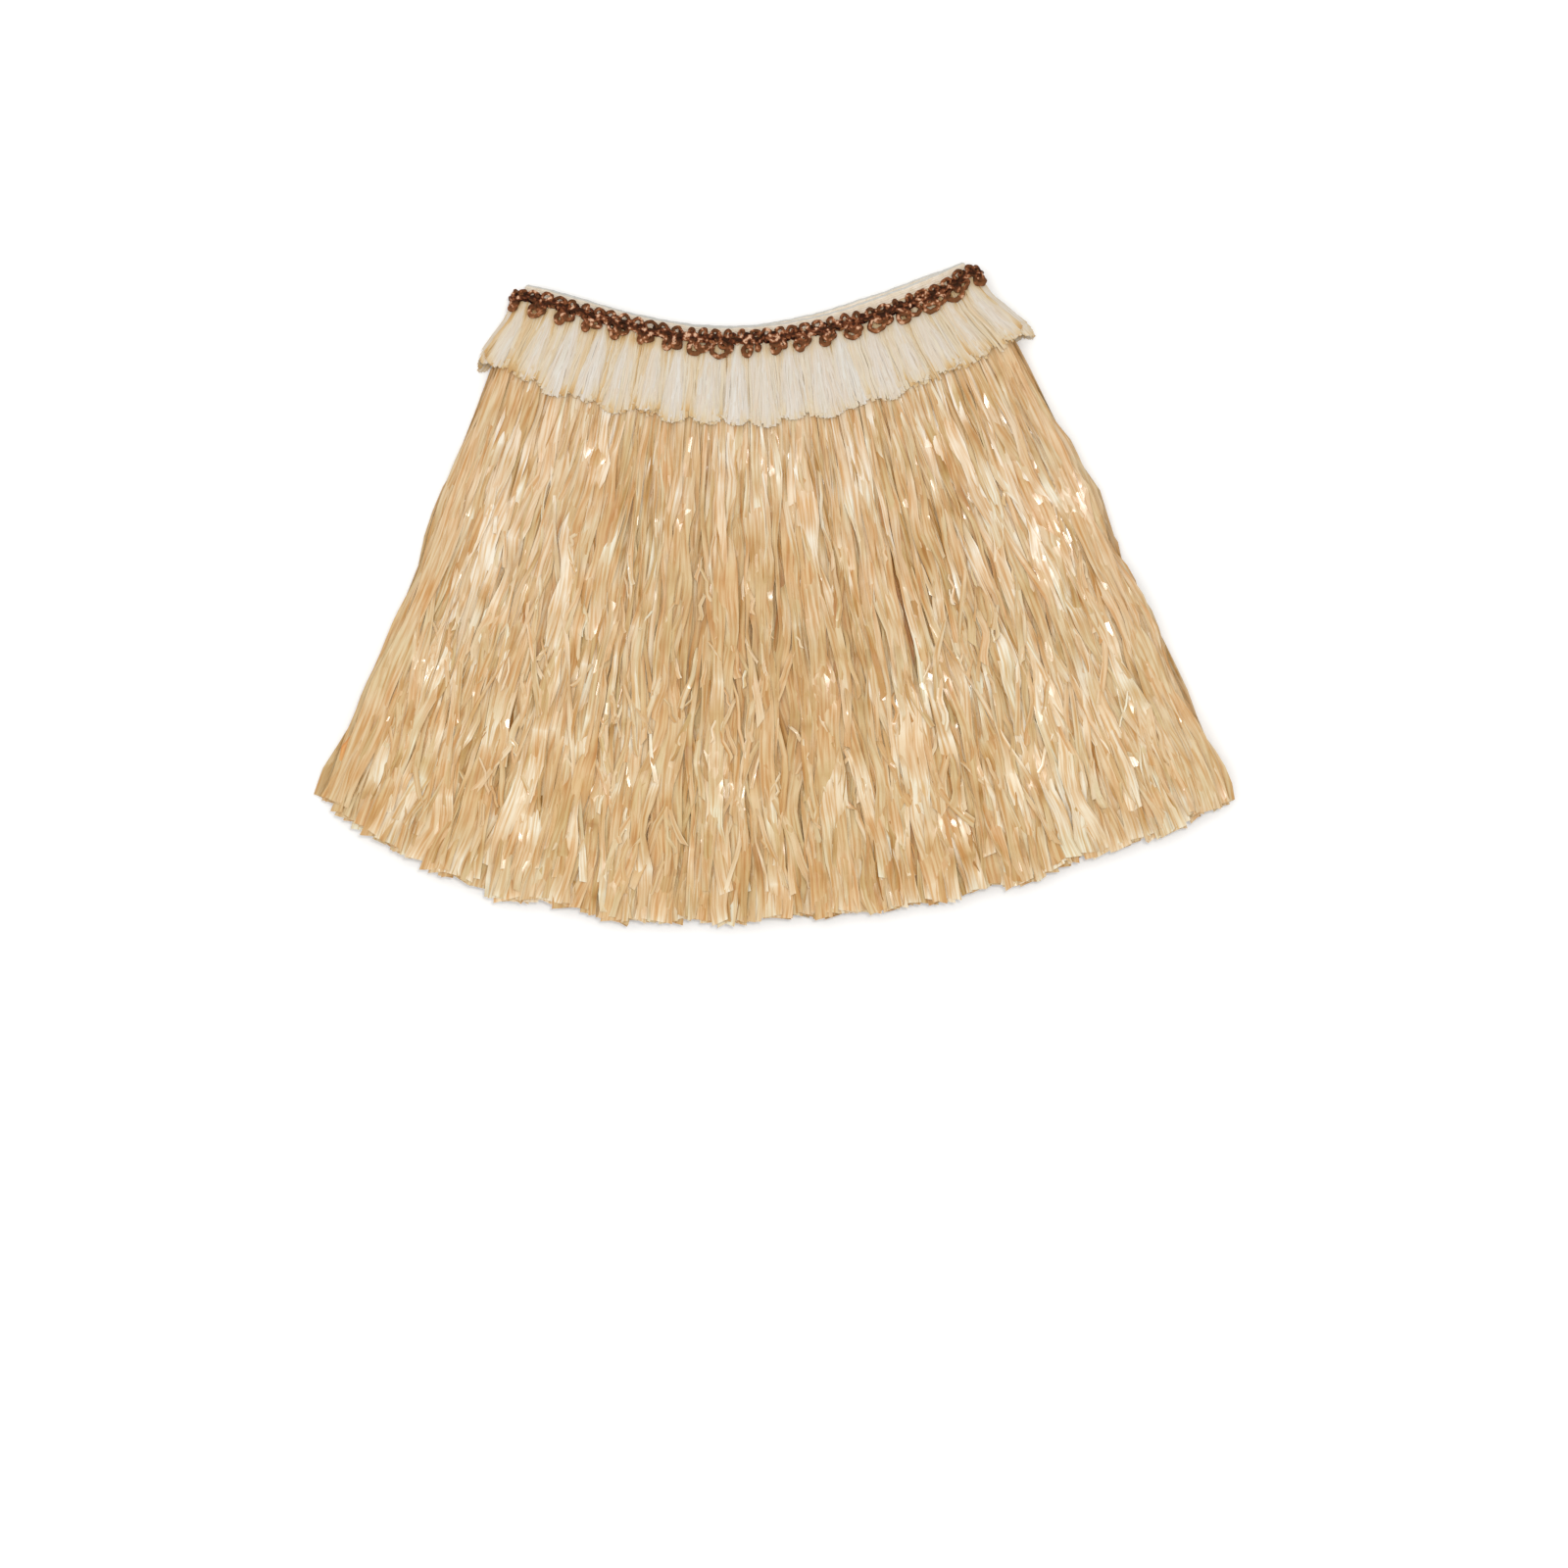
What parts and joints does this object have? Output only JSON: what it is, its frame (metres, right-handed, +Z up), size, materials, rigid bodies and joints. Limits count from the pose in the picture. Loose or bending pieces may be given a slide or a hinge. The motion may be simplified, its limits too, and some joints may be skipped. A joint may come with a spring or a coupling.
{
  "type": "grass skirt",
  "caption": "Raffia grass skirt laid flat, with an elastic waistband, a scrolled braid, a short pale tufted fringe and long straw-coloured strands all round.",
  "frame": {"origin": "centre of the laid skirt's box, on the surface it lies on", "axes": "+Z up from the surface, +Y from the hem to the waist, +X to the right of a viewer who sees the front with the waist at the top"},
  "size_m": [0.6257, 0.4492, 0.0197],
  "materials": {
    "raffia": "glossy film raffia, straw gold",
    "tuft_fringe": "soft raffia, cream white",
    "braid": "satin cord, dark brown",
    "elastic": "ribbed woven elastic, beige"
  },
  "bodies": {
    "root": {"waistband": "elastic", "grass_front_outer": "raffia", "grass_front_inner": "raffia", "grass_back_inner": "raffia", "grass_back_outer": "raffia", "tufts_front": "tuft_fringe", "tufts_back": "tuft_fringe", "braid_front": "braid", "braid_back": "braid"}
  },
  "joints": []
}
